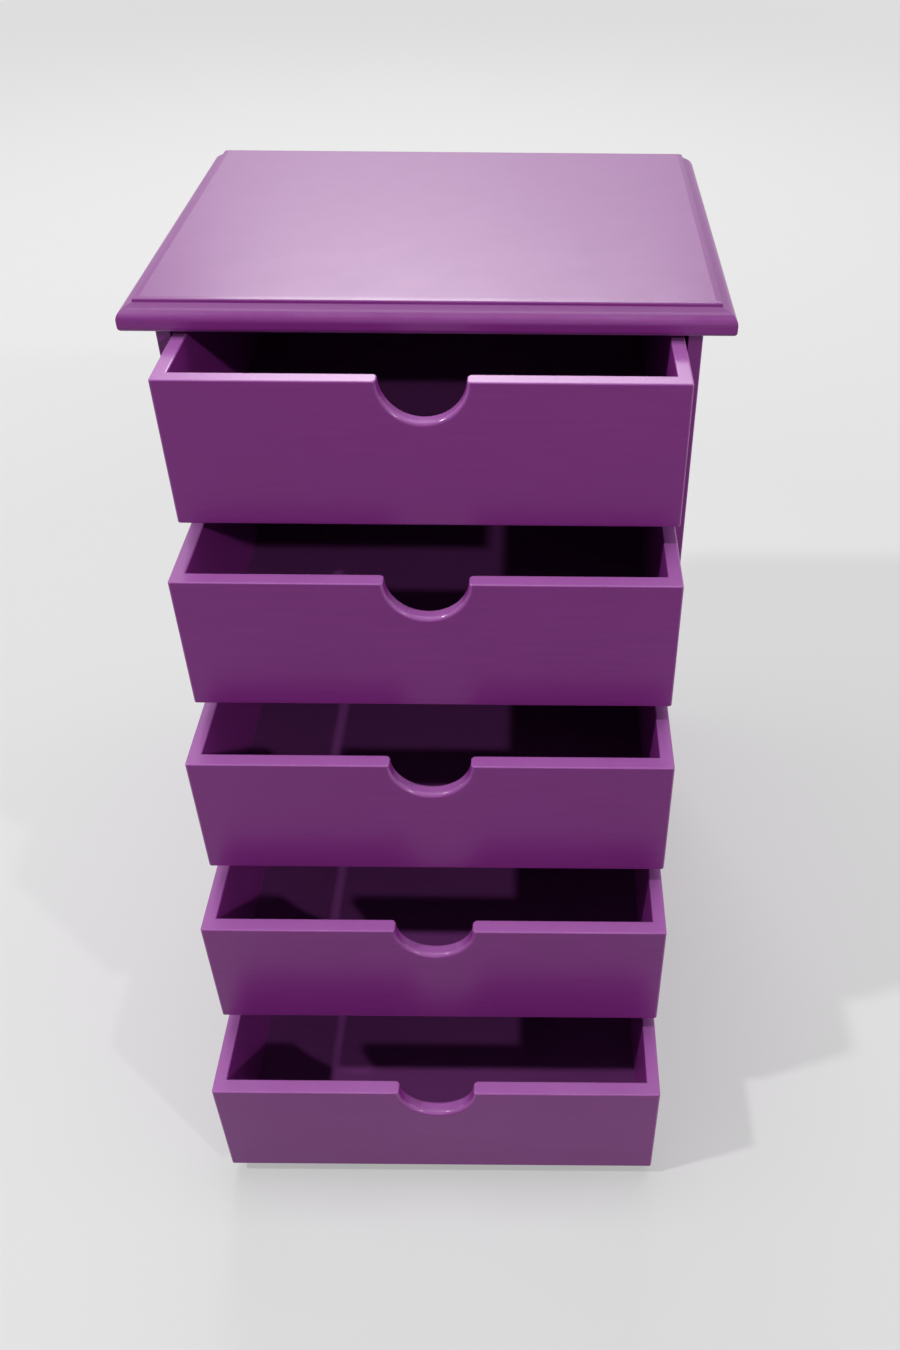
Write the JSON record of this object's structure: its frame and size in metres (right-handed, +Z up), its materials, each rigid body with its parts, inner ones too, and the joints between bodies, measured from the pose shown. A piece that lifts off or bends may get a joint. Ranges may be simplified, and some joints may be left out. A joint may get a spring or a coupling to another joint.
{
  "type": "jewellery box with drawers",
  "caption": "Upright purple painted wooden jewellery box with a moulded top and a stack of open-topped drawers that slide out by half-round finger notches.",
  "frame": {"origin": "middle of the underside of the case, where it stands", "axes": "+X to the right seen from the front, +Y from the front to the back, +Z up"},
  "size_m": [0.251, 0.3522, 0.3895],
  "materials": {
    "purple_paint": "satin-gloss purple paint over smooth board",
    "steel_pin": "plain steel panel pin",
    "beech_dowel": "bare beech"
  },
  "bodies": {
    "case": {"top_board": "purple_paint", "left_side_panel": "purple_paint", "right_side_panel": "purple_paint", "back_panel": "purple_paint", "base_board": "purple_paint", "shelf_1": "purple_paint", "shelf_2": "purple_paint", "shelf_3": "purple_paint", "shelf_4": "purple_paint", "top_dowels": "beech_dowel", "back_panel_pins": "steel_pin"},
    "drawer_1": {"drawer_1_front": "purple_paint", "drawer_1_left_side": "purple_paint", "drawer_1_right_side": "purple_paint", "drawer_1_back": "purple_paint", "drawer_1_bottom": "purple_paint", "drawer_1_bottom_pins": "steel_pin"},
    "drawer_2": {"drawer_2_front": "purple_paint", "drawer_2_left_side": "purple_paint", "drawer_2_right_side": "purple_paint", "drawer_2_back": "purple_paint", "drawer_2_bottom": "purple_paint", "drawer_2_bottom_pins": "steel_pin"},
    "drawer_3": {"drawer_3_front": "purple_paint", "drawer_3_left_side": "purple_paint", "drawer_3_right_side": "purple_paint", "drawer_3_back": "purple_paint", "drawer_3_bottom": "purple_paint", "drawer_3_bottom_pins": "steel_pin"},
    "drawer_4": {"drawer_4_front": "purple_paint", "drawer_4_left_side": "purple_paint", "drawer_4_right_side": "purple_paint", "drawer_4_back": "purple_paint", "drawer_4_bottom": "purple_paint", "drawer_4_bottom_pins": "steel_pin"},
    "drawer_5": {"drawer_5_front": "purple_paint", "drawer_5_left_side": "purple_paint", "drawer_5_right_side": "purple_paint", "drawer_5_back": "purple_paint", "drawer_5_bottom": "purple_paint", "drawer_5_bottom_pins": "steel_pin"}
  },
  "joints": [
    {"name": "drawer_1_slide", "type": "slide", "parent": "case", "child": "drawer_1", "axis": [0, -1, 0], "range_m": [-0.04496, 0.12254]},
    {"name": "drawer_2_slide", "type": "slide", "parent": "case", "child": "drawer_2", "axis": [0, -1, 0], "range_m": [-0.07267, 0.09483]},
    {"name": "drawer_3_slide", "type": "slide", "parent": "case", "child": "drawer_3", "axis": [0, -1, 0], "range_m": [-0.10074, 0.06676]},
    {"name": "drawer_4_slide", "type": "slide", "parent": "case", "child": "drawer_4", "axis": [0, -1, 0], "range_m": [-0.12937, 0.03813]},
    {"name": "drawer_5_slide", "type": "slide", "parent": "case", "child": "drawer_5", "axis": [0, -1, 0], "range_m": [-0.16423, 0.00327]}
  ]
}
